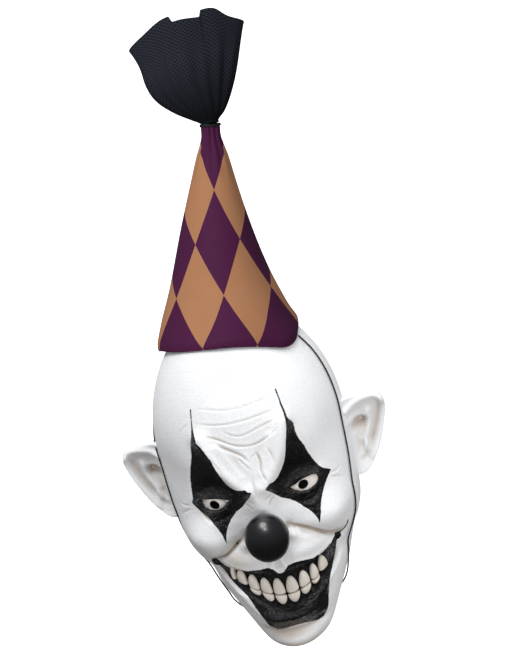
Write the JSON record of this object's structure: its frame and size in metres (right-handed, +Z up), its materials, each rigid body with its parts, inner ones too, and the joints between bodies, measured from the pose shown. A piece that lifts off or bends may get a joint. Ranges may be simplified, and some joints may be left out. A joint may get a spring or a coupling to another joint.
{
  "type": "clown mask",
  "caption": "Over-the-head clown mask with black and white face paint, a ball nose, bared teeth, big ears and a tall diamond-patterned cone hat with a net tuft and chin elastic.",
  "frame": {"origin": "inside of the crown, where the mask sits on a head or a stand", "axes": "+Z up along the head, the face looks along -Y, +X to the viewer's right"},
  "size_m": [0.2538, 0.2566, 0.5749],
  "materials": {
    "latex": "matte white latex with satin black paint",
    "nose_paint": "satin black",
    "teeth": "satin ivory",
    "hat_cloth": "smooth purple and tan cloth",
    "thread": "black thread",
    "net": "black net",
    "elastic": "black covered elastic"
  },
  "bodies": {
    "root": {"mask_shell": "latex", "nose_ball": "nose_paint", "teeth_upper": "teeth", "teeth_lower": "teeth", "hat_cone": "hat_cloth", "hat_tie": "thread", "hat_tuft": "net", "chin_elastic": "elastic"}
  },
  "joints": []
}
